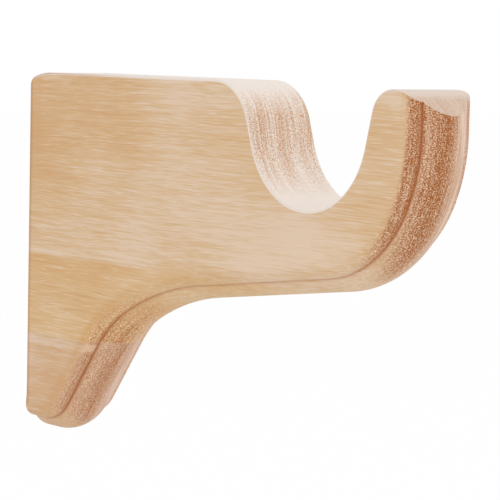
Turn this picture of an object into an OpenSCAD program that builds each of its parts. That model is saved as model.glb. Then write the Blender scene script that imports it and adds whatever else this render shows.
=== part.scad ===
// Wooden corbel bracket with an open cradle for a pole.
// X runs out from the wall, Y across the thickness, Z up. All sizes in millimetres.
// The origin is the middle of the flat face that sits against the wall.

/* [Overall] */
// Thickness of the board
thickness = 19; // [12:0.5:40]
// How far the bracket stands out from the wall
projection = 143.7; // [120:0.1:200]
// Height of the face against the wall
height = 92.2; // [75:0.1:140]

/* [Cradle] */
// Radius of the round seat the pole rests in
cradle_radius = 19.3; // [14:0.1:24]
// Wood left in front of the cradle
cradle_front = 16.9; // [12:0.1:30]
// How far the middle of the pole sits below the top edge
cradle_drop = 8.7; // [4:0.1:14]
// Lean of the cradle wall on the side of the house wall, in degrees
inner_lean = 17.5; // [5:0.5:30]
// Lean of the cradle wall at the tip, in degrees
outer_lean = 14; // [5:0.5:30]
// Rounding where the top edge rolls into the cradle
inner_lip_radius = 12.5; // [4:0.1:16]
// Rounding on the cradle side of the tip
outer_lip_radius = 6.3; // [3:0.1:9]

/* [Tip] */
// How far the tip stays below the top edge
tip_drop = 0.4; // [0:0.1:5]
// Rounding over the front of the tip
tip_radius = 7.6; // [3:0.1:10]
// Slope of the flat cut in front of that rounding, in degrees
tip_slope = 42; // [30:1:50]
// How far below the tip that cut meets the front
tip_fall = 5.3; // [4:0.1:9]

/* [Underside] */
// Straight drop at the front, above the first curve
front_drop = 9.5; // [4:0.1:20]
// Upper curve of the front
front_upper_radius = 40.5; // [20:0.1:50]
// Lower curve of the front
front_lower_radius = 33.5; // [20:0.1:45]
// Slope where the two front curves meet, in degrees
front_angle = 65; // [45:1:80]
// Rise of the underside of the arm, in degrees
arm_angle = 7.5; // [0:0.5:15]
// Easy curve where the arm starts to turn down
arm_radius = 79.5; // [40:0.5:120]
// Slope where the easy curve meets the tight one, in degrees
turn_angle = 28; // [15:1:45]
// Tight curve leading down to the foot
throat_radius = 36.3; // [20:0.1:60]
// Steepness of the straight slope above the foot, in degrees
foot_angle = 53; // [46:1:75]
// Length of that slope
foot_slope = 19.3; // [5:0.1:30]
// Rounding of the foot
foot_radius = 15.8; // [8:0.1:25]
// Level run from the wall to the rounding of the foot
foot_flat = 4.6; // [2:0.1:12]

/* [Moulded edge] */
// Radius of the rounded band along each side
band_radius = 3.2; // [1:0.1:5]
// How far the middle crown stands out beyond the bands
crown_rise = 3.2; // [1:0.1:5]

/* [Back corner] */
// Rounding of the corner between the wall face and the top
corner_radius = 2.3; // [0.5:0.1:6]
// Gentle rounding that runs from that corner on to the top
ease_radius = 21; // [8:0.5:40]
// Slope where the two meet, in degrees
ease_angle = 20; // [10:1:35]

/* [Hidden] */
$fn = 96;
top = height / 2;

// The underside is a chain of tangent curves at the height of the crown. Its foot end grows or
// shrinks as one piece, and the arm lengthens, until the chain fits the height and projection.
front_run = front_lower_radius * (sin(front_angle) - sin(arm_angle))
          + front_upper_radius * (1 - sin(front_angle));
front_height = front_lower_radius * (cos(arm_angle) - cos(front_angle))
             + front_upper_radius * cos(front_angle) + front_drop;
foot_run = foot_flat + foot_radius * sin(foot_angle) + foot_slope * cos(foot_angle)
         + throat_radius * (sin(foot_angle) - sin(turn_angle))
         + arm_radius * (sin(turn_angle) - sin(arm_angle));
foot_height = foot_radius * (1 - cos(foot_angle)) + foot_slope * sin(foot_angle)
            + throat_radius * (cos(turn_angle) - cos(foot_angle))
            + arm_radius * (cos(arm_angle) - cos(turn_angle));
foot_scale = ((height - front_height) * cos(arm_angle) - (projection - front_run) * sin(arm_angle))
           / (foot_height * cos(arm_angle) - foot_run * sin(arm_angle));
arm_length = (projection - front_run - foot_scale * foot_run) / cos(arm_angle);

// Each link: [length if straight, radius if curved, heading it ends with]. A curve that turns up
// has the wood inside it; one that turns back down has the wood outside.
links = [
    [foot_scale * foot_flat, 0, 0],
    [0, foot_scale * foot_radius, foot_angle],
    [foot_scale * foot_slope, 0, foot_angle],
    [0, foot_scale * throat_radius, turn_angle],
    [0, foot_scale * arm_radius, arm_angle],
    [arm_length, 0, arm_angle],
    [0, front_lower_radius, front_angle],
    [0, front_upper_radius, 90],
    [front_drop, 0, 90]
];

// Heading with which link i starts, and the point it starts from.
function heading(i) = i == 0 ? 0 : links[i - 1][2];
function turn(i) = sign(links[i][2] - heading(i));
function link_step(i) = let (l = links[i], a = heading(i), b = l[2], r = turn(i) * l[1])
    l[1] == 0 ? l[0] * [cos(a), sin(a)] : r * [sin(b) - sin(a), cos(a) - cos(b)];
function start(i) = i == 0 ? [0, -top] : start(i - 1) + link_step(i - 1);
function centre(i) = start(i) + turn(i) * links[i][1] * [-sin(heading(i)), cos(heading(i))];

// The cradle: its middle, and the two roundings that lead into it from above. Each rounding is
// joined to the seat by a straight wall that touches both.
cradle = [projection - cradle_front - cradle_radius, top - cradle_drop];
tip = top - tip_drop;
function seat_end(side, lean) = cradle + cradle_radius * [side * cos(lean), -sin(lean)];
function wall_length(r, lean, level) =
    (level - r - seat_end(1, lean).y + r * sin(lean)) / cos(lean);
function wall_end(side, r, lean, level) =
    seat_end(side, lean) + wall_length(r, lean, level) * [side * sin(lean), cos(lean)];
function lip_centre(side, r, lean, level) =
    wall_end(side, r, lean, level) + r * [side * cos(lean), -sin(lean)];
inner_lip = lip_centre(-1, inner_lip_radius, inner_lean, top);
outer_lip = lip_centre(1, outer_lip_radius, outer_lean, tip);

// The front of the tip: a rounding, then a flat cut that runs out at the crown.
tip_end = [projection, tip - tip_fall];
cut_length = (tip_fall - tip_radius * (1 - cos(tip_slope))) / sin(tip_slope);
cut_start = tip_end + cut_length * [-cos(tip_slope), sin(tip_slope)];
tip_centre = cut_start - tip_radius * [sin(tip_slope), cos(tip_slope)];

// The corner above the wall face: a small rounding, then a gentle one.
corner = [corner_radius, top - ease_radius + (ease_radius - corner_radius) * cos(ease_angle)];
ease = [corner_radius + (ease_radius - corner_radius) * sin(ease_angle), top - ease_radius];
corner_edge = corner + (corner_radius + 3) * [-sin(ease_angle), cos(ease_angle)];

// Stations along the chain, each a point on the crown line with the heading there.
step_angle = 4;
function steps(i) = max(1, ceil(abs(links[i][2] - heading(i)) / step_angle));
function at(i, t) = let (a = heading(i) + t * (links[i][2] - heading(i)))
    links[i][1] == 0 ? [start(i) + t * link_step(i), a]
                     : [centre(i) + turn(i) * links[i][1] * [sin(a), -cos(a)], a];
stations = concat([for (i = [0:8]) for (k = [0:steps(i) - 1]) at(i, k / steps(i))], [at(8, 1)]);

// Section of the moulded edge, as [height above the crown, place across the thickness]. It starts
// in the middle of the back, inside the board, and runs round one side, the crown and the other.
// The back keeps clear of the middle of the tightest curve that has the wood inside it.
moulding_depth = band_radius + crown_rise;
spare_depth = min(foot_scale * foot_radius, front_lower_radius, front_upper_radius)
            - moulding_depth;
edge_depth = moulding_depth + 0.7 * spare_depth;
crown_half = thickness / 2 - band_radius;
crown_radius = (crown_half * crown_half + crown_rise * crown_rise) / (2 * crown_rise);
crown_angle = asin(crown_half / crown_radius);
band = [for (k = [0:6]) let (a = 15 * k)
    [band_radius * sin(a) - band_radius - crown_rise, -crown_half - band_radius * cos(a)]];
crown = [for (k = [-5:5]) let (a = crown_angle * k / 6)
    [crown_radius * (cos(a) - 1), crown_radius * sin(a)]];
section = concat([[-edge_depth, 0], [-edge_depth, -thickness / 2]], band, crown,
                 [for (k = [6:-1:0]) [band[k].x, -band[k].y]], [[-edge_depth, thickness / 2]]);

// Outline of the plain core, which meets the moulded edge inside the board.
core_depth = moulding_depth + 0.3 * spare_depth;
core = concat([for (s = stations) s[0] + core_depth * [-sin(s[1]), cos(s[1])]],
              [[projection - core_depth, top], [0, top]]);

// The moulded edge, swept along the underside as one closed shape.
module moulded_edge() {
    n = len(section);
    last = len(stations) - 1;
    polyhedron(
        points = [for (s = stations) for (p = section)
            [s[0].x + p.x * sin(s[1]), p.y, s[0].y - p.x * cos(s[1])]],
        faces = concat(
            [[for (j = [0:n - 1]) j]],
            [[for (j = [n:-1:1]) last * n + j % n]],
            [for (i = [0:last - 1]) for (j = [0:n - 1]) let (k = (j + 1) % n)
                [i * n + k, i * n + j, (i + 1) * n + j, (i + 1) * n + k]]
        )
    );
}

// A shape drawn in X and Z, made into a slab across the thickness.
module slab(width) {
    rotate([90, 0, 0])
        linear_extrude(width, center = true)
            children();
}

module board() {
    slab(thickness)
        polygon(core);
    moulded_edge();
}

module cradle_cut() {
    difference() {
        polygon([
            seat_end(-1, inner_lean),
            wall_end(-1, inner_lip_radius, inner_lean, top),
            inner_lip,
            [inner_lip.x, top + 5],
            [outer_lip.x, top + 5],
            outer_lip,
            wall_end(1, outer_lip_radius, outer_lean, tip),
            seat_end(1, outer_lean),
            cradle
        ]);
        translate(inner_lip)
            circle(r = inner_lip_radius);
        translate(outer_lip)
            circle(r = outer_lip_radius);
    }
}

module tip_cut() {
    difference() {
        polygon([
            [outer_lip.x, tip],
            tip_centre,
            cut_start,
            tip_end + [3, -3 * tan(tip_slope)],
            [projection + 3, top + 5],
            [outer_lip.x, top + 5]
        ]);
        translate(tip_centre)
            circle(r = tip_radius);
    }
}

module corner_cut() {
    difference() {
        polygon([[-3, corner.y], corner, corner_edge, [-3, top + 3]]);
        translate(corner)
            circle(r = corner_radius);
    }
    difference() {
        polygon([corner, ease, [ease.x, top + 3], corner_edge]);
        translate(ease)
            circle(r = ease_radius);
    }
}

module bracket() {
    color("BurlyWood")
        difference() {
            board();
            translate([cradle.x, 0, cradle.y])
                rotate([90, 0, 0])
                    cylinder(r = cradle_radius, h = thickness + 2, center = true);
            slab(thickness + 2)
                cradle_cut();
            slab(thickness + 2)
                tip_cut();
            slab(thickness + 2)
                corner_cut();
        }
}

bracket();
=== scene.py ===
"""A wooden corbel bracket for a pole: its sanded board, its wood and its plain stage."""

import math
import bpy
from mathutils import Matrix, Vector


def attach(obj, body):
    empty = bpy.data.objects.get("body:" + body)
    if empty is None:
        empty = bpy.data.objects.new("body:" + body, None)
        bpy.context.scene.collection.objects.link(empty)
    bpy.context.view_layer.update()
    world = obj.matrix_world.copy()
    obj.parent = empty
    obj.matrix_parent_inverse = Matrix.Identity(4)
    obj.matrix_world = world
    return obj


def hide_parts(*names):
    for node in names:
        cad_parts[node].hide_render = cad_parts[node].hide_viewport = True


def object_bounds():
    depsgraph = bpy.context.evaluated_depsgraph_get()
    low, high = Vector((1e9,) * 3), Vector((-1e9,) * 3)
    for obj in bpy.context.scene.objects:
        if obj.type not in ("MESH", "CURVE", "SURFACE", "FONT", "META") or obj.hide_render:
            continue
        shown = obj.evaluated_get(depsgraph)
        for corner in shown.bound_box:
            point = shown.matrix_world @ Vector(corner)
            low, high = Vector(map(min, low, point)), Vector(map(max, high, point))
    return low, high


bl_info = {
    "name": "Wooden Corbel Bracket",
    "version": (1, 0, 0),
    "blender": (4, 5, 0),
    "location": "View3D > Sidebar > Bracket",
    "description": "Builds a wooden corbel bracket with a pole cradle and a moulded edge",
    "category": "Object",
}

from typing import NamedTuple

import bmesh
import bpy
from bpy.props import FloatProperty, FloatVectorProperty, PointerProperty
from mathutils import Matrix, Vector

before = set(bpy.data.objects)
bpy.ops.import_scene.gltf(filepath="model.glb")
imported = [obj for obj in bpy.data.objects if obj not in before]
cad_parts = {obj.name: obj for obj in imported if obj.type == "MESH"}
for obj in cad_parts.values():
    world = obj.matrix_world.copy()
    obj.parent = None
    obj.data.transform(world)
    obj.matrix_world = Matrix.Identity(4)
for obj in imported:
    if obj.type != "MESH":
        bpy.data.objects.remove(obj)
CAD_BOX = [list(corner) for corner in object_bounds()]
# How far the CAD model reaches along X, Y and Z.
PROJECTION, THICKNESS, HEIGHT = (high - low for low, high in zip(*CAD_BOX))
MM = 0.001


# Settings


def length(name, description, mm):
    return FloatProperty(name=name, description=description, default=mm * MM, min=0.0,
                         unit="LENGTH", precision=4)


def offset(name, description, mm):
    """A height over the origin, or under it if it is negative."""
    return FloatProperty(name=name, description=description, default=mm * MM,
                         unit="LENGTH", precision=4)


def angle(name, description, degrees):
    return FloatProperty(name=name, description=description, default=math.radians(degrees),
                         subtype="ANGLE")


def power(name, description, watts):
    return FloatProperty(name=name, description=description, default=watts, min=0.0,
                         unit="POWER")


def linear(r, g, b):
    """A colour given as it looks on a screen, 0 to 255, turned into the values shaders use."""
    def channel(v):
        v /= 255
        return v / 12.92 if v <= 0.04045 else ((v + 0.055) / 1.055) ** 2.4
    return (channel(r), channel(g), channel(b))


def colour(name, description, r, g, b):
    return FloatVectorProperty(name=name, description=description, subtype="COLOR", size=3,
                               min=0.0, max=1.0, default=linear(r, g, b))


class BracketSizes(bpy.types.PropertyGroup):
    """Sizes of the bracket, the same as in its CAD model."""

    thickness: length("Thickness", "Thickness of the board", THICKNESS / MM)
    projection: length("Projection", "How far it stands out from the wall", PROJECTION / MM)
    height: length("Height", "Height of the face against the wall", HEIGHT / MM)
    cradle_radius: length("Cradle radius", "Radius of the seat of the pole", 19.3)
    cradle_front: length("Cradle front", "Wood in front of the cradle", 16.9)
    cradle_drop: length("Cradle drop", "Depth of the pole's middle below the top", 8.7)
    inner_lean: angle("Inner lean", "Lean of the cradle wall nearer the house", 17.5)
    outer_lean: angle("Outer lean", "Lean of the cradle wall at the tip", 14.0)
    inner_lip: length("Inner lip", "Rounding from the top into the cradle", 12.5)
    outer_lip: length("Outer lip", "Rounding on the cradle side of the tip", 6.3)
    tip_drop: length("Tip drop", "How far the tip stays below the top", 0.4)
    tip_radius: length("Tip radius", "Rounding over the front of the tip", 7.6)
    tip_slope: angle("Tip slope", "Slope of the cut in front of that rounding", 42.0)
    tip_fall: length("Tip fall", "Height lost by the time the cut meets the front", 5.3)
    front_drop: length("Front drop", "Straight drop at the front", 9.5)
    front_upper: length("Front upper radius", "Upper curve of the front", 40.5)
    front_lower: length("Front lower radius", "Lower curve of the front", 33.5)
    front_angle: angle("Front angle", "Slope where the front curves meet", 65.0)
    arm_angle: angle("Arm angle", "Rise of the underside of the arm", 7.5)
    arm_radius: length("Arm radius", "Easy curve where the arm turns down", 79.5)
    turn_angle: angle("Turn angle", "Slope where the easy curve meets the tight one", 28.0)
    throat_radius: length("Throat radius", "Tight curve leading to the foot", 36.3)
    foot_angle: angle("Foot angle", "Steepness of the slope above the foot", 53.0)
    foot_slope: length("Foot slope", "Length of that slope", 19.3)
    foot_radius: length("Foot radius", "Rounding of the foot", 15.8)
    foot_flat: length("Foot flat", "Level run from the wall to the foot's rounding", 4.6)
    band_radius: length("Band radius", "Rounded band along each side", 3.2)
    crown_rise: length("Crown rise", "Height of the middle crown over the bands", 3.2)
    corner_radius: length("Corner radius", "Corner between wall face and top", 2.3)
    ease_radius: length("Ease radius", "Gentle rounding from the corner to the top", 21.0)
    ease_angle: angle("Ease angle", "Slope where those two meet", 20.0)
    edge_ease: length("Sanded edge", "Radius sanded on the plain edges", 0.45)


class BracketWood(bpy.types.PropertyGroup):
    """The bare wood: its colours, with painted shade and highlights among them, and the glue
    joints between its strips.
    """

    gold: colour("Gold", "Golden streaks in the long grain", 208, 165, 119)
    honey: colour("Honey", "Main colour of the long grain", 214, 181, 142)
    pale: colour("Pale", "Palest streaks in the long grain", 223, 198, 173)
    cut_dark: colour("Cut dark", "Dark ground where the cutter crossed the grain", 162, 92, 36)
    cut_light: colour("Cut light", "Light cells on that dark ground", 232, 202, 172)
    # Brown burnish in the creases. The same brown paints the shade there, on the edges and at the
    # wall.
    burnish_and_shade: colour("Burnish and shade", "Brown of the creases and rubbed edges", 164, 88, 32)
    # The far half of the moulding is made paler, with streaks of its own.
    far_pale: colour("Far half", "The paler far half of the moulding", 206, 164, 132)
    far_pale_streak: colour("Far half streak", "Palest streaks in that half", 226, 205, 188)
    # The sawn colour is also painted as a pale highlight along the far creases.
    sawn: colour("Sawn", "Sawn wood in the cradle and on top", 232, 221, 212)
    sawn_streak: colour("Sawn streak", "Darker streaks in the sawn wood", 226, 210, 198)
    sawn_light: colour("Sawn light", "Light cells across the sawn wood", 234, 224, 214)
    sawn_ground: colour("Sawn ground", "Dark ground between those cells", 188, 132, 76)
    upper_joint: offset("Upper joint", "Height of the upper glue joint", -0.1)
    lower_joint: offset("Lower joint", "Height of the lower glue joint", -20.7)


class BracketStage(bpy.types.PropertyGroup):
    """Camera, floor and lights."""

    azimuth: angle("Azimuth", "Turn of the camera round the bracket", 50.1)
    elevation: angle("Elevation", "Height angle of the camera", 5.33)
    roll: angle("Roll", "Lean of the camera", 1.3)
    place: FloatVectorProperty(name="Place", description="Where the camera stands",
                               subtype="XYZ", unit="LENGTH", size=3,
                               default=(0.4743, -0.3315, 0.0548))
    lens: FloatProperty(name="Lens", description="Focal length on a 36 mm sensor",
                        default=160.1, min=20.0, unit="CAMERA")
    floor: colour("Floor", "Colour of the floor", 236, 235, 233)
    floor_depth: length("Floor depth", "How far the floor is below the origin", 200.0)
    key: power("Key", "Power of the lamp above on the right", 1.3)
    fill: power("Fill", "Power of the lamp in front, low down", 1.1)
    low: power("Low", "Power of the low lamp on the right", 0.9)
    rim: power("Rim", "Power of the lamp behind", 2.0)
    sky: FloatProperty(name="Sky", description="Brightness of the light all round",
                       default=0.8, min=0.0)


# Outline in X and Z: points, each with the way the wood faces there. Here and in the mesh, s
# holds the bracket's sizes.

# How far apart the points are, round an arc and along a straight.
ARC_STEP = math.radians(1.5)
STRAIGHT_STEP = 2.5 * MM


def polar(a):
    return Vector((math.cos(a), math.sin(a)))


def arc(centre, radius, start, end, hollow=False):
    """Points round an arc. A hollow one faces its own middle."""
    count = max(2, math.ceil(abs(end - start) / ARC_STEP))
    turns = [polar(start + (end - start) * k / count) for k in range(count + 1)]
    return [(centre + radius * t, -t if hollow else t) for t in turns]


def straight(start, end):
    """Points along a line, with the wood on its left."""
    run = end - start
    facing = Vector((run.y, -run.x)).normalized()
    count = max(1, math.ceil(run.length / STRAIGHT_STEP))
    return [(start.lerp(end, k / count), facing) for k in range(count + 1)]


class Underside:
    """The chain of tangent curves under the arm, at the height of the crown: stations, each a
    point and the heading there. Its foot end is scaled as one piece, and the arm's length
    follows, so that the chain fits the height and the projection."""

    def __init__(self, s):
        sin, cos = math.sin, math.cos
        # Slopes of the front, the arm, the start of the throat and the foot.
        f, a, t, g = s.front_angle, s.arm_angle, s.turn_angle, s.foot_angle
        front_run = s.front_lower * (sin(f) - sin(a)) + s.front_upper * (1 - sin(f))
        front_height = (s.front_lower * (cos(a) - cos(f)) + s.front_upper * cos(f)
                        + s.front_drop)
        foot_run = (s.foot_flat + s.foot_radius * sin(g) + s.foot_slope * cos(g)
                    + s.throat_radius * (sin(g) - sin(t)) + s.arm_radius * (sin(t) - sin(a)))
        foot_height = (s.foot_radius * (1 - cos(g)) + s.foot_slope * sin(g)
                       + s.throat_radius * (cos(t) - cos(g))
                       + s.arm_radius * (cos(a) - cos(t)))
        scale = (((s.height - front_height) * cos(a) - (s.projection - front_run) * sin(a))
                 / (foot_height * cos(a) - foot_run * sin(a)))
        arm = (s.projection - front_run - scale * foot_run) / cos(a)
        self.at = Vector((0.0, -s.height / 2))
        self.heading = 0.0
        self.stations = []
        self.go(scale * s.foot_flat)
        self.turn(scale * s.foot_radius, g)
        self.go(scale * s.foot_slope)
        self.turn(scale * s.throat_radius, t)
        self.turn(scale * s.arm_radius, a)
        self.go(arm)
        self.turn(s.front_lower, f)
        self.turn(s.front_upper, math.pi / 2)
        self.stations.append((self.at, self.heading))

    def go(self, run):
        """Goes straight on for a length."""
        end = self.at + run * polar(self.heading)
        self.stations += [(p, self.heading) for p, _ in straight(self.at, end)[:-1]]
        self.at = end

    def turn(self, radius, heading):
        """Turns along an arc until the chain has this heading."""
        side = 1 if heading > self.heading else -1
        quarter = side * math.pi / 2
        centre = self.at + radius * polar(self.heading + quarter)
        points = arc(centre, radius, self.heading - quarter, heading - quarter)
        spread = (heading - self.heading) / (len(points) - 1)
        self.stations += [(p, self.heading + spread * k)
                          for k, (p, _) in enumerate(points[:-1])]
        self.at, self.heading = points[-1][0], heading


class Tip:
    """The rounded tip: a rounding, then a flat cut down to the front."""

    def __init__(self, s):
        self.top = s.height / 2 - s.tip_drop
        self.slope = s.tip_slope
        end = Vector((s.projection, self.top - s.tip_fall))
        cut = (s.tip_fall - s.tip_radius * (1 - math.cos(self.slope))) / math.sin(self.slope)
        self.start = end + cut * Vector((-math.cos(self.slope), math.sin(self.slope)))
        self.radius = s.tip_radius
        self.centre = self.start - self.radius * polar(math.pi / 2 - self.slope)

    def level(self, x):
        """Height of the tip's surface at this distance from the wall."""
        if x <= self.centre.x:
            return self.top
        if x <= self.start.x:
            return self.centre.y + math.sqrt(self.radius ** 2 - (x - self.centre.x) ** 2)
        return self.start.y - (x - self.start.x) * math.tan(self.slope)


def lip(cradle, s, side, lean, radius, level):
    """Where the cradle's straight wall starts and ends, and the middle of the rounding above."""
    seat = cradle + s.cradle_radius * Vector((side * math.cos(lean), -math.sin(lean)))
    wall = (level - radius - seat.y + radius * math.sin(lean)) / math.cos(lean)
    top = seat + wall * Vector((side * math.sin(lean), math.cos(lean)))
    return seat, top, top + radius * Vector((side * math.cos(lean), -math.sin(lean)))


def plain_outline(s, tip):
    """From the front of the tip, over the cradle and the top, and down the wall face."""
    top = s.height / 2
    quarter = math.pi / 2
    soft = s.crown_rise + s.band_radius
    cradle = Vector((s.projection - s.cradle_front - s.cradle_radius, top - s.cradle_drop))
    seat_o, wall_o, lip_o = lip(cradle, s, 1, s.outer_lean, s.outer_lip, tip.top)
    seat_i, wall_i, lip_i = lip(cradle, s, -1, s.inner_lean, s.inner_lip, top)
    ease = Vector((s.corner_radius + (s.ease_radius - s.corner_radius)
                   * math.sin(s.ease_angle), top - s.ease_radius))
    corner = ease + (s.ease_radius - s.corner_radius) * polar(quarter + s.ease_angle)
    front = math.acos((s.projection - soft - tip.centre.x) / tip.radius)
    return (
        arc(tip.centre, tip.radius, front, quarter)
        + straight(tip.centre + tip.radius * polar(quarter),
                   lip_o + s.outer_lip * polar(quarter))
        + arc(lip_o, s.outer_lip, quarter, math.pi - s.outer_lean)
        + straight(wall_o, seat_o)
        + arc(cradle, s.cradle_radius, -s.outer_lean, s.inner_lean - math.pi, hollow=True)
        + straight(seat_i, wall_i)
        + arc(lip_i, s.inner_lip, s.inner_lean, quarter)
        + straight(lip_i + s.inner_lip * polar(quarter), Vector((ease.x, top)))
        + arc(ease, s.ease_radius, quarter, quarter + s.ease_angle)
        + arc(corner, s.corner_radius, quarter + s.ease_angle, math.pi)
        + straight(Vector((0.0, corner.y)), Vector((0.0, soft - top)))
    )


# Steps round each band and over the crown.
BAND_STEPS = 14
CROWN_STEPS = 36


def moulding_section(s):
    """Height above the crown and place across the board, from one side to the other."""
    half = s.thickness / 2 - s.band_radius
    radius = (half ** 2 + s.crown_rise ** 2) / (2 * s.crown_rise)
    spread = math.asin(half / radius)
    turns = [math.pi / 2 * k / BAND_STEPS for k in range(BAND_STEPS + 1)]
    band = [(s.band_radius * (math.sin(a) - 1) - s.crown_rise,
             -half - s.band_radius * math.cos(a)) for a in turns]
    turns = [spread * (2 * k / CROWN_STEPS - 1) for k in range(1, CROWN_STEPS)]
    crown = [(radius * (math.cos(a) - 1), radius * math.sin(a)) for a in turns]
    return band + crown + [(u, -y) for u, y in reversed(band)]


# Mesh of the board

# Material slots, in the order of WOODS.
SIDE, SAWN, MOULDED = range(3)
# What the mesh's points tell the wood, from 0 to 1: how near they are to a crease, to the middle
# of a sanded edge, and to the soft line where the moulding runs out into the flat side.
MARKS = ("crease", "edge", "soft")

# The crease and the soft line, point by point across the moulding from its side. The crease is
# where the band meets the crown, and its values start three points before that.
# Those crease values carry brown burnish with painted shade on the near half, and a painted
# highlight on the far half.
CREASE = (0.1, 0.25, 0.55, 1.0, 0.3, 0.05)
CREASE_START = BAND_STEPS - 3
SOFT = (1.0, 0.85, 0.6, 0.3, 0.1)
# The soft line goes on over a border of flat side: how far its points are from the moulding, and
# the value there.
BORDER = ((1.8 * MM, 0.0), (0.8 * MM, 0.4))

# Rows from the straight front up to the tip's cut.
TIP_ROWS = 6
# The sanded edges: steps round each, and the length over which one runs out.
EASE_STEPS = 4
EASE_RUN_OUT = 3 * MM
# Painted shade on the edges is full at the wall, and fades with the distance from it down to the
# least.
EDGE_SHADE_REACH = 50 * MM
LEAST_EDGE_SHADE = 0.15
# Edges sharper than this stay sharp in the shading, and points closer than this become one.
SHARP = math.radians(28)
MERGE = 1e-7


def section_marks():
    """For each point across the moulding: how near it is to a crease, and to a soft line."""
    last = 2 * BAND_STEPS + CROWN_STEPS
    marks = []
    for k in range(last + 1):
        step = min(k, last - k)
        near = step - CREASE_START
        marks.append((CREASE[near] if 0 <= near < len(CREASE) else 0.0,
                      SOFT[step] if step < len(SOFT) else 0.0))
    return marks


def eased_ring(s, point, facing, ease):
    """Across a plain edge: one sanded corner, then the other."""
    half = s.thickness / 2
    ring = []
    for k in range(EASE_STEPS + 1):
        a = math.pi / 2 * k / EASE_STEPS
        p = point - facing * ease * (1 - math.sin(a))
        ring.append(Vector((p.x, ease * (1 - math.cos(a)) - half, p.y)))
    return ring + [Vector((v.x, -v.y, v.z)) for v in reversed(ring)]


class BoardMesh:
    """The whole board as one closed mesh."""

    def __init__(self, s):
        self.s = s
        self.tip = Tip(s)
        self.mesh = bmesh.new()
        self.marks = [self.mesh.verts.layers.float.new(name) for name in MARKS]

    def grid(self, rows, marked, materials):
        """A sheet of four-sided faces through rows of points, with their marks."""
        made = []
        for row, values in zip(rows, marked):
            made.append([self.mesh.verts.new(v) for v in row])
            for vert, value in zip(made[-1], values):
                for layer, number in zip(self.marks, value):
                    vert[layer] = number
        for one, two in zip(made, made[1:]):
            for k, material in enumerate(materials):
                self.face((one[k], two[k], two[k + 1], one[k + 1]), material)
        return made

    def face(self, corners, material, smooth=True):
        """One face, with its material slot."""
        face = self.mesh.faces.new(corners)
        face.material_index, face.smooth = material, smooth

    def moulded_edge(self):
        """The moulded edge, which runs straight up at the front until it meets the tip's cut.
        The border of flat side goes with it, narrowing to nothing at the wall and at the tip."""
        s = self.s
        section, marks_across = moulding_section(s), section_marks()
        stations = Underside(s).stations
        half, deep = s.thickness / 2, s.crown_rise + s.band_radius
        end = len(stations) - 1
        rows, marked = [], []
        for row in range(end + TIP_ROWS + 1):
            point, a = stations[min(row, end)]
            climb = max(0, row - end) / TIP_ROWS
            width = min(1.0, row, 1 - climb)
            border = [(-deep - far * width, half) for far, _ in BORDER]
            across = [(u, -y) for u, y in border] + section + border[::-1]
            ring = [Vector((point.x + u * math.sin(a), y, point.y - u * math.cos(a)))
                    for u, y in across]
            rows.append([v.lerp(Vector((v.x, v.y, self.tip.level(v.x))), climb) for v in ring])
            sides = [(0.0, 0.0, soft * width) for _, soft in BORDER]
            moulding = [(crease, 0.0, soft * width) for crease, soft in marks_across]
            marked.append(sides + moulding + sides[::-1])
        flat = [SIDE] * len(BORDER)
        return self.grid(rows, marked, flat + [MOULDED] * (len(section) - 1) + flat)

    def plain_edges(self):
        """The plain edges, with the sanding fading out where they run into the moulded ones."""
        outline = plain_outline(self.s, self.tip)
        runs = [0.0]
        for (a, _), (b, _) in zip(outline, outline[1:]):
            runs.append(runs[-1] + (b - a).length)
        corner_shades = [math.sin(math.pi * k / EASE_STEPS) for k in range(EASE_STEPS + 1)] * 2
        rings, marked = [], []
        for (point, facing), run in zip(outline, runs):
            fade = min(1.0, run / EASE_RUN_OUT, (runs[-1] - run) / EASE_RUN_OUT)
            rings.append(eased_ring(self.s, point, facing, self.s.edge_ease * fade))
            # Painted shade along the sanded edges: strongest at each corner's middle, full at the
            # wall and fading away from it.
            rubbed_and_shaded = max(LEAST_EDGE_SHADE, 1 - point.x / EDGE_SHADE_REACH)
            marked.append([(0.0, corner_shade * rubbed_and_shaded, 0.0) for corner_shade in corner_shades])
        return self.grid(rings, marked, [SAWN] * (2 * EASE_STEPS + 1))

    def tip_cut(self, row):
        """The cut across the tip, in strips across the last moulded row, up to its crown."""
        row = row[len(BORDER):-len(BORDER)]
        last = len(row) - 1
        for k in range(last // 2):
            near, far = (row[k], row[k + 1]), (row[last - k - 1], row[last - k])
            self.face(near + (far[1:] if near[1] is far[0] else far), SAWN)

    def close(self):
        """Joins the edges where they meet, and shades the sharp ones sharp."""
        mesh = self.mesh
        bmesh.ops.remove_doubles(mesh, verts=mesh.verts, dist=MERGE)
        bmesh.ops.dissolve_degenerate(mesh, dist=MERGE, edges=mesh.edges)
        bmesh.ops.recalc_face_normals(mesh, faces=mesh.faces)
        for edge in mesh.edges:
            if not edge.is_manifold:
                raise RuntimeError("the board's mesh is open near %s" % edge.verts[0].co)
            soft_line = {face.material_index for face in edge.link_faces} == {SIDE, MOULDED}
            edge.smooth = edge.calc_face_angle() < SHARP and not soft_line

    def make(self):
        """All the faces: the edges, the tip's cut, the moulding's end at the wall, both sides."""
        moulded, plain = self.moulded_edge(), self.plain_edges()
        self.tip_cut(moulded[-1])
        self.face(moulded[0], SIDE, smooth=False)
        for side in (0, -1):
            self.face([row[side] for row in moulded + plain], SIDE, smooth=False)
        self.close()
        data = bpy.data.meshes.new("bracket_board")
        self.mesh.to_mesh(data)
        self.mesh.free()
        return data


class BRACKET_OT_board(bpy.types.Operator):
    """Builds the board in place of the plain CAD one"""

    bl_idname = "bracket.board"
    bl_label = "Board"

    def execute(self, context):
        scene = context.scene
        data = BoardMesh(scene.bracket_sizes).make()
        board = bpy.data.objects.new("bracket_board", data)
        scene.collection.objects.link(board)
        groups = {tree.name: tree for tree in (board_lay(), long_grain(), cut_grain())}
        for name in WOODS:
            data.materials.append(WoodMaker(name, scene.bracket_wood, groups).make())
        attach(board, "root")
        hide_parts("bracket")
        return {"FINISHED"}


# Shader nodes


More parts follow.
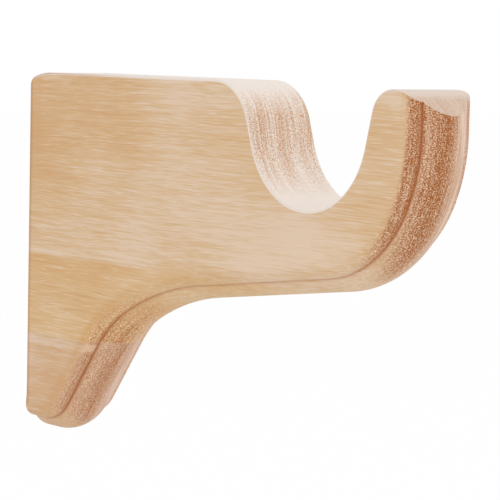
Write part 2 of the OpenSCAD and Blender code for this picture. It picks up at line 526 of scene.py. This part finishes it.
class Nodes:
    """Adds nodes to a tree and links them. A value is a number, a colour or a socket."""

    def __init__(self, tree):
        self.tree = tree

    def add(self, kind, values=None, **settings):
        node = self.tree.nodes.new(kind)
        for name, setting in settings.items():
            setattr(node, name, setting)
        for key, value in (values or {}).items():
            self.feed(node.inputs[key], value)
        return node

    def feed(self, socket, value):
        if isinstance(value, bpy.types.NodeSocket):
            self.tree.links.new(value, socket)
        else:
            socket.default_value = value

    def maths(self, operation, *values):
        node = self.add("ShaderNodeMath", dict(enumerate(values)), operation=operation)
        return node.outputs["Value"]

    def vector(self, operation, *values):
        node = self.add("ShaderNodeVectorMath", dict(enumerate(values)), operation=operation)
        return node.outputs["Vector"]

    def parts(self, vector):
        """The X, Y and Z of a vector, by name."""
        return self.add("ShaderNodeSeparateXYZ", {0: vector}).outputs

    def product(self, first, *others):
        """Values multiplied together."""
        for value in others:
            first = self.maths("MULTIPLY", first, value)
        return first

    def total(self, start, *parts):
        """A starting value plus each value times its weight."""
        for value, weight in parts:
            start = self.maths("MULTIPLY_ADD", value, weight, start)
        return start

    def fade(self, value, low, high, start=0.0, end=1.0):
        """A smooth step from start to end while the value goes from low to high."""
        node = self.add("ShaderNodeMapRange", {"Value": value, "From Min": low,
                        "From Max": high, "To Min": start, "To Max": end},
                        interpolation_type="SMOOTHSTEP")
        return node.outputs["Result"]

    def mix(self, factor, a, b, blend="MIX"):
        """A colour between two. The Mix node repeats its socket names for numbers, vectors and
        colours, so here they go by their place."""
        node = self.add("ShaderNodeMix", {0: factor, 6: a, 7: b}, data_type="RGBA",
                        blend_type=blend)
        return node.outputs[2]

    def between(self, factor, a, b):
        """A number between two."""
        return self.add("ShaderNodeMix", {0: factor, 2: a, 3: b}).outputs[0]

    def noise(self, place, size, detail=0.0, output="Fac"):
        """Noise centred on 0, whose spots are about this size along X, Y and Z, in mm."""
        scaled = self.vector("DIVIDE", place, size)
        node = self.add("ShaderNodeTexNoise", {"Vector": scaled, "Scale": 1.0,
                        "Detail": detail, "Roughness": 0.55})
        if output == "Color":
            return self.vector("SUBTRACT", node.outputs[output], (0.5, 0.5, 0.5))
        return self.maths("SUBTRACT", node.outputs[output], 0.5)

    def ramp(self, factor, stops):
        """A colour read from stops, each a place from 0 to 1 and a colour."""
        node = self.add("ShaderNodeValToRGB", {"Fac": factor})
        points = node.color_ramp.elements
        for k, (place, shade) in enumerate(stops):
            point = points[k] if k < len(points) else points.new(place)
            point.position, point.color = place, shade
        return node.outputs["Color"]

    def mark(self, name):
        """One of the values the mesh's points hold."""
        return self.add("ShaderNodeAttribute", attribute_name=name).outputs["Fac"]

    def group(self, tree, **values):
        """The outputs of a shader group, given its inputs by name."""
        return self.add("ShaderNodeGroup", values, node_tree=tree).outputs


def node_group(name, inputs, outputs):
    """A new shader group, with the nodes that give its inputs and take its outputs."""
    tree = bpy.data.node_groups.new(name, "ShaderNodeTree")
    for direction, sockets in (("INPUT", inputs), ("OUTPUT", outputs)):
        for label, kind in sockets.items():
            tree.interface.new_socket(label, in_out=direction,
                                      socket_type="NodeSocket" + kind)
    nodes = Nodes(tree)
    return nodes, nodes.add("NodeGroupInput").outputs, nodes.add("NodeGroupOutput").inputs


# Grain, as shader groups. Everything in them is in mm.

# How far apart in the grain two neighbouring strips are, so that it stops at each joint.
STRIP_SHIFT = (61.0, 17.0, 43.0)
# How the grain wanders: size of the bends, and how far it strays across itself.
WANDER = (70, 25, 22)
STRAY = (0, 3, 3)
# The glue line, by the distance from the joint: full up to the first, gone from the second.
GLUE = (0.05, 0.25)
# The pale streak beside each joint: how far over it, and half its width. The lower joint's lies
# under it. Each is fully pale over a part of its width.
UPPER_STREAK = (0.9, 0.6)
LOWER_STREAK = (-1.6, 1.6)
STREAK_CORE = 0.3


def board_lay():
    """Where a point is on the bracket, and where it lay in the boards it was glued from, with
    the number of its strip from the top, the glue lines and the pale streaks beside them."""
    nodes, given, out = node_group(
        "Board lay", {"Upper joint": "Float", "Lower joint": "Float"},
        {"Place": "Vector", "Lay": "Vector", "Strip": "Float", "Glue": "Float",
         "Pale": "Float"})
    place = nodes.vector("SCALE", nodes.add("ShaderNodeTexCoord").outputs["Object"])
    place.node.inputs["Scale"].default_value = 1 / MM
    height = nodes.parts(place)["Z"]
    strip, glue, pale = 0.0, 0.0, 0.0
    for joint, (side, width) in (("Upper joint", UPPER_STREAK), ("Lower joint", LOWER_STREAK)):
        over = nodes.maths("SUBTRACT", height, nodes.maths("DIVIDE", given[joint], MM))
        strip = nodes.maths("ADD", strip, nodes.maths("LESS_THAN", over, 0.0))
        off = nodes.maths("ABSOLUTE", over)
        glue = nodes.maths("ADD", glue, nodes.fade(off, *GLUE, 1.0, 0.0))
        off = nodes.maths("ABSOLUTE", nodes.maths("SUBTRACT", over, side))
        streak = nodes.fade(off, STREAK_CORE * width, width, 1.0, 0.0)
        pale = nodes.maths("ADD", pale, streak)
    shift = nodes.add("ShaderNodeCombineXYZ", {
        axis: nodes.maths("MULTIPLY", strip, step)
        for axis, step in zip("XYZ", STRIP_SHIFT)}).outputs["Vector"]
    lay = nodes.vector("ADD", place, shift)
    wander = nodes.noise(lay, WANDER, 1.0, "Color")
    lay = nodes.vector("ADD", lay, nodes.vector("MULTIPLY", wander, STRAY))
    for name, value in (("Place", place), ("Lay", lay), ("Strip", strip), ("Glue", glue),
                        ("Pale", pale)):
        nodes.feed(out[name], value)
    return nodes.tree


# Layers of the long grain: size of the spots along X, Y and Z, finer detail, weight in the tone.
LONG_LAYERS = {
    "broad": ((34, 16, 26), 1.0, 1.5),
    "drift": ((60, 12, 7), 1.0, 0.4),
    "streak": ((26, 2.5, 1.3), 1.0, 0.55),
    "fibre": ((6, 0.4, 0.26), 1.0, 1.15),
    "thread": ((22, 0.5, 0.3), 0.0, 0.7),
}
# The tone they vary around.
LONG_TONE = 0.55
# The palest fibres, from the first value of their noise to the second, turn into paler dashes.
DASH = (0.1, 0.25)
DASH_WEIGHT = 0.25


def long_grain():
    """Tone of the wood along the grain, from golden at 0 to pale at 1: broad drifts, streaks,
    fine fibres, and the short pale dashes of the opened cells."""
    nodes, given, out = node_group("Long grain", {"Lay": "Vector"},
                                   {"Tone": "Float", "Fibre": "Float"})
    layers = {name: (nodes.noise(given["Lay"], size, detail), weight)
              for name, (size, detail, weight) in LONG_LAYERS.items()}
    fibre = layers["fibre"][0]
    tone = nodes.total(LONG_TONE, *layers.values(), (nodes.fade(fibre, *DASH), DASH_WEIGHT))
    nodes.feed(out["Tone"], tone)
    nodes.feed(out["Fibre"], fibre)
    return nodes.tree


# Cells where the grain is cut across: their size, finer detail, and the noise across their rims.
CELL = (1.2, 0.23, 0.26)
CELL_DETAIL = 0.8
RIM = (-0.15, 0.15)
# Size of the rows the cells stand in.
ROW = (60, 0.4, 9)
# Growth rings: how far off the first one is, how they lean, and half the distance between two.
# The pale line of late wood and the denser wood between two lines go by the distance to a line.
RING_START = -0.75
RING_LEAN = (0.058, 1.0, -0.05)
RING_HALF = 3.4
LATE = (0.2, 1.1)
DENSE = (0.8, 3.0)
# What each of these adds to the lightness.
CELL_LIGHT, LATE_LIGHT, DENSE_LIGHT = 0.8, 0.06, -0.12


def cut_grain():
    """How light the wood is where the grain was cut across: pale cells, in rows and rings."""
    nodes, given, out = node_group(
        "Cut grain", {"Lay": "Vector", "Ground": "Float", "Rows": "Float"},
        {"Cell": "Float", "Row": "Float", "Light": "Float"})
    lay = given["Lay"]
    cell = nodes.maths("SUBTRACT", nodes.noise(lay, CELL, CELL_DETAIL), given["Ground"])
    cell = nodes.fade(cell, *RIM)
    row = nodes.noise(lay, ROW)
    place = nodes.parts(lay)
    ring = nodes.total(RING_START, *((place[k], RING_LEAN[k]) for k in range(3)))
    off = nodes.maths("PINGPONG", ring, RING_HALF)
    light = nodes.total(0.0, (cell, CELL_LIGHT),
                        (nodes.fade(off, *LATE, 1.0, 0.0), LATE_LIGHT),
                        (nodes.fade(off, *DENSE), DENSE_LIGHT),
                        (row, given["Rows"]))
    nodes.feed(out["Cell"], cell)
    nodes.feed(out["Row"], row)
    nodes.feed(out["Light"], light)
    return nodes.tree


# Wood


class Kind(NamedTuple):
    """How one of the bracket's woods differs from the others."""

    long: tuple             # golden, plain and pale colour of its long grain
    gilding: float = 0.0    # how much more golden it is along the soft line
    warmth: float = 0.0     # and how much more away from that line
    cut: tuple = ()         # colours of the ground and the cells where the grain is cut across
    crossed: tuple = ()     # how far it faces along the grain where cells begin, and are full
    ground: float = 0.0     # how much more ground than cells
    rows: float = 0.0       # contrast of the rows of cells
    lift: float = 0.0       # how much lighter its cells are
    far_pale: float = 0.0        # how much of its far half takes the paler colour
    rubbed_and_shaded: str = ""        # the mark of the mesh that shows where it gets burnish and painted shade


LONG = ("gold", "honey", "pale")
WOODS = {
    "Side wood": Kind(LONG, gilding=0.3),
    "Sawn wood": Kind(("sawn_streak", "sawn", "sawn"), cut=("sawn_ground", "sawn_light"),
                      crossed=(0.35, 1.0), ground=-0.06, rows=0.8, lift=0.02, rubbed_and_shaded="edge"),
    "Moulded wood": Kind(LONG, gilding=0.35, warmth=0.26, cut=("cut_dark", "cut_light"),
                         crossed=(0.28, 0.65), ground=0.05, rows=0.6, lift=-0.02, far_pale=0.8,
                         rubbed_and_shaded="crease"),
}

# Where the wood changes, in mm along one axis: from, to.
WALLWARD = (0.0, 80.0)      # X: more golden towards the wall
STRIPS_FADE = (5.0, 70.0)   # X: the middle strip and the streaks fade away from the wall
OUTSIDE = (105.0, 125.0)    # X: paler towards the tip
TIP_CUT_SHADE = (118.0, 134.0)    # X: painted shade darkens the sawn wood of the tip
GILDED = (-8.0, 8.0)        # Z: the soft line is golden below, plain above
FAR_HALF = (-1.0, 3.0)       # Y: the far half begins
FAR_HALF_END = (6.0, 6.6)    # Y: and ends at the far crease
LENS = (-6.8, -6.2)         # Y: a pale lens on the near band, under the lower joint
WALL_SHADE_EDGE = (0.4, 1.8)      # X: painted shade on the sides next to the wall
NEAR_HALF = (-0.5, 0.5)     # Y: creases get brown burnish and painted shade on the near half, a pale painted highlight on the far one

# What each of these adds to the tone of the long grain.
TONE = {"wallward": -0.26, "outside": 0.05, "lowest": 0.3, "middle": 0.05, "streak": 0.35,
        "each mm out": 0.0014, "each mm up": 0.0008, "tip cut shade": -1.6}
# What each of these adds to the lightness of the cells.
LIGHTNESS = {"plain": 0.5, "facing": -0.5, "lens": 0.5, "lowest": 0.2, "middle": 0.1,
             "tip cut shade": -0.5}
# The lowest strip's cells differ less from each other, and the middle one's spread further.
LOWEST_CONTRAST = -0.25
MIDDLE_SPREAD = 0.12
# Streaks in the paler far half: plain value, weight of the rows, weight of the cells.
FAR_HALF_STREAKS = (0.45, 2.5, 0.25)

# Tints of the strips, all over and once more on their cells, and the painted shade on the tip's
# cut.
MIDDLE_TINT, LOWEST_TINT = (1.0, 0.97, 0.88, 1), (0.97, 0.955, 1.0, 1)
MIDDLE_CELLS, LOWEST_CELLS = (1.0, 0.97, 0.86, 1), (1.0, 0.98, 0.92, 1)
TIP_SHADE_TINT = (0.92, 0.915, 0.9, 1)

# How brown the painted shade is at the wall and on the edges, and the burnish with painted
# shade in the creases, where it grows as they turn to face along the grain. How pale the glue is.
WALL_SHADE = 0.4
EDGE_SHADE = 0.7
CREASE_FACING, CREASE_BURNISH_AND_SHADE = (0.1, 0.7), (0.5, 0.9)
GLUE_PALENESS = 0.15

# Gloss, roughness and what the fibres add to it, and strength and depth of the fibres' relief.
GLOSS = 0.25
ROUGHNESS, ROUGH_FIBRES = 0.6, 0.2
BUMP, BUMP_DEPTH = 0.3, 0.05 * MM


class WoodMaker:
    """Makes one of the woods: long grain, turning to cells where it was cut across."""

    def __init__(self, name, wood, groups):
        self.kind, self.wood = WOODS[name], wood
        self.material = bpy.data.materials.new(name)
        self.material.use_nodes = True
        self.nodes = nodes = Nodes(self.material.node_tree)
        joints = {"Upper joint": wood.upper_joint, "Lower joint": wood.lower_joint}
        self.board = nodes.group(groups["Board lay"], **joints)
        self.grain = nodes.group(groups["Long grain"], Lay=self.board["Lay"])
        self.place = nodes.parts(self.board["Place"])
        self.middle, self.lowest = (nodes.maths("COMPARE", self.board["Strip"], strip, 0.1)
                                    for strip in (1.0, 2.0))
        self.sawn = self.kind.rubbed_and_shaded == "edge"
        if self.sawn:
            # Where painted shade darkens the sawn wood of the tip.
            self.tip = nodes.fade(self.place["X"], *TIP_CUT_SHADE)
        if self.kind.cut:
            self.cut = nodes.group(groups["Cut grain"], Lay=self.board["Lay"],
                                   Ground=self.kind.ground, Rows=self.kind.rows)
            normal = nodes.add("ShaderNodeTexCoord").outputs["Normal"]
            self.facing = nodes.maths("ABSOLUTE", nodes.parts(normal)["X"])

    def colour(self, name):
        """One of the wood's colours, opaque."""
        return (*getattr(self.wood, name), 1)

    def tint(self, shade, mask, tint):
        """A colour multiplied by a tint as far as the mask says."""
        return self.nodes.mix(mask, shade, tint, "MULTIPLY")

    def along(self):
        """Colour of the long grain."""
        nodes, x, z = self.nodes, self.place["X"], self.place["Z"]
        soft = nodes.mark("soft")
        gilding = nodes.product(soft, nodes.fade(z, *GILDED, self.kind.gilding, 0.0))
        near_wall = nodes.fade(x, *STRIPS_FADE, 1.0, 0.0)
        tone = nodes.total(
            self.grain["Tone"],
            (nodes.maths("SUBTRACT", 1.0, soft), -self.kind.warmth),
            (gilding, -1.0),
            (nodes.fade(x, *WALLWARD, 1.0, 0.0), TONE["wallward"]),
            (nodes.fade(x, *OUTSIDE), TONE["outside"]),
            (self.lowest, TONE["lowest"]),
            (nodes.product(self.middle, near_wall), TONE["middle"]),
            (nodes.product(self.board["Pale"], near_wall), TONE["streak"]),
            (x, TONE["each mm out"]),
            (z, TONE["each mm up"]))
        if self.sawn:
            # Painted shade: the tip's sawn wood is made more golden.
            tone = nodes.total(tone, (self.tip, TONE["tip cut shade"]))
        return nodes.ramp(tone, [(stop, self.colour(name))
                                 for stop, name in zip((0.0, 0.5, 1.0), self.kind.long)])

    def across(self):
        """Colour of the cells: the more the wood faces along the grain, the darker it is."""
        nodes = self.nodes
        lens = nodes.product(self.board["Pale"], self.lowest,
                             nodes.fade(self.place["Y"], *LENS, 1.0, 0.0))
        lift = nodes.total(self.kind.lift + LIGHTNESS["plain"],
                           (self.facing, LIGHTNESS["facing"]), (lens, LIGHTNESS["lens"]),
                           (self.lowest, LIGHTNESS["lowest"]),
                           (self.middle, LIGHTNESS["middle"]))
        if self.sawn:
            # Painted shade: the tip's cells are made darker.
            lift = nodes.total(lift, (self.tip, LIGHTNESS["tip cut shade"]))
        contrast = nodes.total(1.0, (self.lowest, LOWEST_CONTRAST))
        lightness = nodes.total(lift, (self.cut["Light"], contrast))
        dark, light = (self.colour(name) for name in self.kind.cut)
        shade = nodes.mix(lightness, dark, light)
        shade = self.tint(shade, self.middle, MIDDLE_CELLS)
        return self.tint(shade, self.lowest, LOWEST_CELLS)

    def paler_far_half(self, shade):
        """The paler, streaked far half of the moulding."""
        nodes, y = self.nodes, self.place["Y"]
        half = nodes.maths("SUBTRACT", nodes.fade(y, *FAR_HALF), nodes.fade(y, *FAR_HALF_END))
        plain, rows, cells = FAR_HALF_STREAKS
        streaks = nodes.total(plain, (self.cut["Row"], rows), (self.cut["Cell"], cells))
        far_pale = nodes.mix(streaks, self.colour("far_pale"), self.colour("far_pale_streak"))
        return nodes.mix(nodes.product(half, self.kind.far_pale), shade, far_pale)

    def burnished_and_shaded(self, shade):
        """Brown burnish and painted shade in the creases, painted shade on the edges and by the
        wall, and a painted highlight along the far creases.
        """
        nodes = self.nodes
        brown = self.colour("burnish_and_shade")
        if not self.kind.rubbed_and_shaded:
            # Painted shade on the sides next to the wall.
            edge = nodes.fade(self.place["X"], *WALL_SHADE_EDGE, WALL_SHADE, 0.0)
            return nodes.mix(edge, shade, brown)
        mark = nodes.mark(self.kind.rubbed_and_shaded)
        if self.sawn:
            # Painted shade along the sanded edges.
            return nodes.mix(nodes.product(mark, EDGE_SHADE), shade, brown)
        near = nodes.fade(self.place["Y"], *NEAR_HALF, 1.0, 0.0)
        share = nodes.fade(self.facing, *CREASE_FACING, *CREASE_BURNISH_AND_SHADE)
        # Brown burnish and painted shade in the near creases, a pale painted highlight along the
        # far ones.
        line = nodes.mix(near, self.colour("sawn"), brown)
        return nodes.mix(nodes.product(mark, share), shade, line)

    def make(self):
        """The whole material: its colour layer by layer, then roughness and relief."""
        nodes = self.nodes
        shade, height = self.along(), self.grain["Fibre"]
        if self.kind.cut:
            facing = nodes.total(self.facing, (self.middle, MIDDLE_SPREAD))
            crossed = nodes.fade(facing, *self.kind.crossed)
            shade = nodes.mix(crossed, shade, self.across())
            height = nodes.between(crossed, height, self.cut["Cell"])
        if self.kind.far_pale:
            shade = self.paler_far_half(shade)
        if self.sawn:
            # Painted shade: the tip's sawn wood is tinted darker.
            shade = self.tint(shade, self.tip, TIP_SHADE_TINT)
        shade = self.tint(shade, self.middle, MIDDLE_TINT)
        shade = self.tint(shade, self.lowest, LOWEST_TINT)
        shade = self.burnished_and_shaded(shade)
        glue = nodes.product(self.board["Glue"], GLUE_PALENESS)
        shade = nodes.mix(glue, shade, self.colour("pale"))

        shader = nodes.tree.nodes["Principled BSDF"]
        bump = nodes.add("ShaderNodeBump", {"Strength": BUMP, "Distance": BUMP_DEPTH,
                                            "Height": height})
        shader.inputs["Specular IOR Level"].default_value = GLOSS
        nodes.feed(shader.inputs["Base Color"], shade)
        nodes.feed(shader.inputs["Roughness"], nodes.total(ROUGHNESS, (height, ROUGH_FIBRES)))
        nodes.feed(shader.inputs["Normal"], bump.outputs["Normal"])
        return self.material


# Stage

# The lamps: where each stands and how wide it is, in metres. All point at the same place.
LAMPS = {
    "key": ((0.25, -0.15, 0.78), 0.5),
    "fill": ((0.0, -0.8, -0.12), 0.6),
    "low": ((0.75, -0.35, -0.12), 0.4),
    "rim": ((0.3, 0.8, 0.15), 0.5),
}
LAMPS_AIM = Vector((0.07, 0.0, 0.0))
FLOOR_SIZE = 12
# How much of the floor is plain white to the camera. The rest of it keeps the shadow.
FLOOR_WHITE = 0.98
WHITE = (1, 1, 1, 1)
SENSOR_WIDTH = 36


class BRACKET_OT_stage(bpy.types.Operator):
    """Sets the floor, the lights and the camera"""

    bl_idname = "bracket.stage"
    bl_label = "Stage"

    def execute(self, context):
        scene = context.scene
        stage = scene.bracket_stage
        set_floor(stage)
        set_lamps(scene, stage)
        set_world(scene, stage)
        set_camera(scene, stage)
        scene.view_settings.view_transform = "Standard"
        return {"FINISHED"}


def white_rays(nodes):
    """1 for the rays that should meet a white background."""
    path = nodes.add("ShaderNodeLightPath").outputs
    mirrored = nodes.maths("MAXIMUM", path["Is Glossy Ray"], path["Is Transmission Ray"])
    return nodes.maths("MAXIMUM", path["Is Camera Ray"], mirrored)


def set_floor(stage):
    """A pale floor far below, which the camera sees as nearly white, with its shadows."""
    bpy.ops.mesh.primitive_plane_add(size=FLOOR_SIZE, location=(0, 0, -stage.floor_depth))
    floor = bpy.context.object
    floor.name = "floor"
    material = bpy.data.materials.new("Pale floor")
    material.use_nodes = True
    nodes = Nodes(material.node_tree)
    shader = nodes.tree.nodes["Principled BSDF"]
    shader.inputs["Base Color"].default_value = (*stage.floor, 1)
    shader.inputs["Roughness"].default_value = 0.9
    shader.inputs["Specular IOR Level"].default_value = 0.0
    glow = nodes.add("ShaderNodeEmission", {"Color": WHITE, "Strength": 1.0})
    white = nodes.product(white_rays(nodes), FLOOR_WHITE)
    mix = nodes.add("ShaderNodeMixShader", {0: white, 1: shader.outputs["BSDF"],
                                            2: glow.outputs["Emission"]})
    nodes.feed(nodes.tree.nodes["Material Output"].inputs["Surface"], mix.outputs["Shader"])
    floor.data.materials.append(material)


def set_lamps(scene, stage):
    """Four wide soft lamps."""
    for name, (place, size) in LAMPS.items():
        data = bpy.data.lights.new(name, "AREA")
        data.energy, data.size = getattr(stage, name), size
        lamp = bpy.data.objects.new(name, data)
        lamp.location = place
        lamp.rotation_euler = (LAMPS_AIM - Vector(place)).to_track_quat("-Z", "Y").to_euler()
        scene.collection.objects.link(lamp)


def set_world(scene, stage):
    """Even light all round, which the camera sees as white."""
    world = scene.world or bpy.data.worlds.new("Studio")
    scene.world = world
    world.use_nodes = True
    world.node_tree.nodes.clear()
    nodes = Nodes(world.node_tree)
    light, white = (nodes.add("ShaderNodeBackground", {"Color": WHITE, "Strength": strength})
                    .outputs["Background"] for strength in (stage.sky, 1.0))
    mix = nodes.add("ShaderNodeMixShader", {0: white_rays(nodes), 1: light, 2: white})
    nodes.add("ShaderNodeOutputWorld", {"Surface": mix.outputs["Shader"]})


def set_camera(scene, stage):
    """A long lens, looking past the bracket's near side."""
    data = bpy.data.cameras.new("camera")
    data.lens, data.sensor_width = stage.lens, SENSOR_WIDTH
    data.clip_start, data.clip_end = 0.01, 50
    camera = bpy.data.objects.new("camera", data)
    scene.collection.objects.link(camera)
    a, e = stage.azimuth, stage.elevation
    back = Vector((math.sin(a) * math.cos(e), -math.cos(a) * math.cos(e), math.sin(e)))
    right = Vector((math.cos(a), math.sin(a), 0))
    turn = Matrix((right, back.cross(right), back)).transposed().to_4x4()
    camera.matrix_world = (Matrix.Translation(stage.place) @ turn
                           @ Matrix.Rotation(stage.roll, 4, "Z"))
    scene.camera = camera


class BRACKET_PT_panel(bpy.types.Panel):
    """Lists the operators and all the sizes, colours and stage settings"""

    bl_label = "Corbel bracket"
    bl_space_type = "VIEW_3D"
    bl_region_type = "UI"
    bl_category = "Bracket"

    def draw(self, context):
        scene = context.scene
        for operator in (BRACKET_OT_board, BRACKET_OT_stage):
            self.layout.operator(operator.bl_idname)
        for group in (scene.bracket_sizes, scene.bracket_wood, scene.bracket_stage):
            box = self.layout.box()
            for name in group.__annotations__:
                box.prop(group, name)


CLASSES = (BracketSizes, BracketWood, BracketStage, BRACKET_OT_board, BRACKET_OT_stage,
           BRACKET_PT_panel)


def register():
    for cls in CLASSES:
        bpy.utils.register_class(cls)
    bpy.types.Scene.bracket_sizes = PointerProperty(type=BracketSizes)
    bpy.types.Scene.bracket_wood = PointerProperty(type=BracketWood)
    bpy.types.Scene.bracket_stage = PointerProperty(type=BracketStage)


def unregister():
    del bpy.types.Scene.bracket_stage
    del bpy.types.Scene.bracket_wood
    del bpy.types.Scene.bracket_sizes
    for cls in reversed(CLASSES):
        bpy.utils.unregister_class(cls)


def main():
    register()
    bpy.ops.bracket.board()
    bpy.ops.bracket.stage()


if __name__ == "__main__":
    main()
